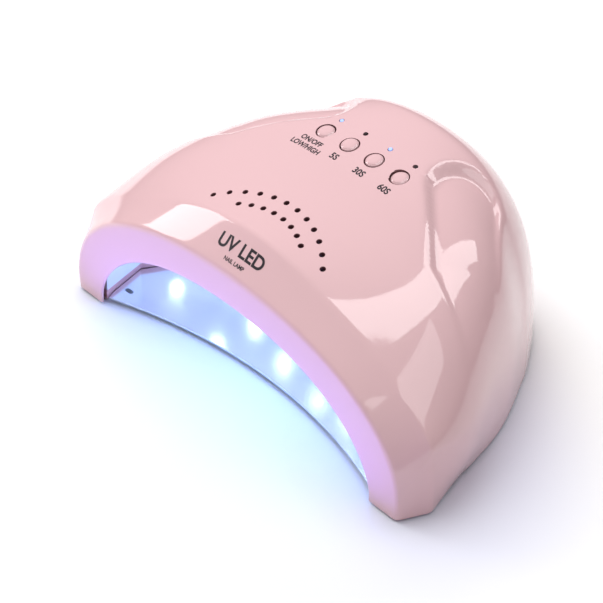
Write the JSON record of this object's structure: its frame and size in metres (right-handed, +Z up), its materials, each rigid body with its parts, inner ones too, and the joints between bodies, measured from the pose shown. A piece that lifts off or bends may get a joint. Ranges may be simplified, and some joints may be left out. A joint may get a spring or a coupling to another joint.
{
  "type": "nail curing lamp",
  "caption": "Arch-shaped lamp that cures gel nail polish, with a hand opening, push buttons on top and a mirror base plate that comes away",
  "frame": {"origin": "on the table, in the middle of the footprint", "axes": "+X to the right hand side seen from the front, +Y towards the back with the power inlet, +Z up; the hand opening faces -Y"},
  "size_m": [0.221, 0.1422, 0.0963],
  "materials": {
    "gloss_cover": "gloss moulded",
    "matte_base": "satin moulded",
    "mirror_sheet": "mirror",
    "magnet": "plated",
    "foot_rubber": "matt",
    "hood_white": "bright reflective",
    "circuit_board": "solder mask",
    "led_package": "satin",
    "led_lens": "clear",
    "bare_aluminium": "extruded",
    "screw_steel": "zinc plated",
    "dark_plastic": "moulded",
    "white_plastic": "moulded",
    "light_pipe": "clear",
    "contact_metal": "plated",
    "lead_sleeve": "smooth"
  },
  "bodies": {
    "lamp": {"top_shell": "gloss_cover", "base_frame": "matte_base", "plate_magnets": "magnet", "rubber_feet": "foot_rubber", "reflector_hood": "hood_white", "ceiling_board": "circuit_board", "facet_board_left": "circuit_board", "facet_board_right": "circuit_board", "thumb_board_left": "circuit_board", "thumb_board_right": "circuit_board", "led_bases": "led_package", "led_lenses": "led_lens", "heat_spreader": "bare_aluminium", "board_screws": "screw_steel", "sensor_board": "circuit_board", "sensor_eyes": "dark_plastic", "button_guide": "white_plastic", "control_board": "circuit_board", "panel_screws": "screw_steel", "switch_housings": "dark_plastic", "light_pipes": "light_pipe", "indicator_leds": "led_package", "board_chips": "dark_plastic", "jack_body": "dark_plastic", "jack_nut": "screw_steel", "jack_contacts": "contact_metal", "shell_screws": "screw_steel", "hood_screws": "screw_steel", "connectors": "white_plastic", "power_lead": "lead_sleeve", "lamp_lead": "lead_sleeve", "facet_lead_left": "lead_sleeve", "facet_lead_right": "lead_sleeve", "thumb_lead_left": "lead_sleeve", "thumb_lead_right": "lead_sleeve"},
    "plate": {"base_plate": "mirror_sheet"},
    "key_power": {"button_power": "gloss_cover", "switch_plunger_power": "white_plastic"},
    "key_5s": {"button_5s": "gloss_cover", "switch_plunger_5s": "white_plastic"},
    "key_30s": {"button_30s": "gloss_cover", "switch_plunger_30s": "white_plastic"},
    "key_60s": {"button_60s": "gloss_cover", "switch_plunger_60s": "white_plastic"}
  },
  "joints": [
    {"name": "plate_drop", "type": "slide", "parent": "lamp", "child": "plate", "axis": [0, 0, -1], "range_m": [0, 0.06]},
    {"name": "press_power", "type": "slide", "parent": "lamp", "child": "key_power", "axis": [0, 0.225, -0.9744], "range_m": [0, 0.0006], "stiffness_N_per_m": 1500, "springref_m": -0.0006},
    {"name": "press_5s", "type": "slide", "parent": "lamp", "child": "key_5s", "axis": [0, 0.225, -0.9744], "range_m": [0, 0.0006], "stiffness_N_per_m": 1500, "springref_m": -0.0006},
    {"name": "press_30s", "type": "slide", "parent": "lamp", "child": "key_30s", "axis": [0, 0.225, -0.9744], "range_m": [0, 0.0006], "stiffness_N_per_m": 1500, "springref_m": -0.0006},
    {"name": "press_60s", "type": "slide", "parent": "lamp", "child": "key_60s", "axis": [0, 0.225, -0.9744], "range_m": [0, 0.0006], "stiffness_N_per_m": 1500, "springref_m": -0.0006}
  ]
}
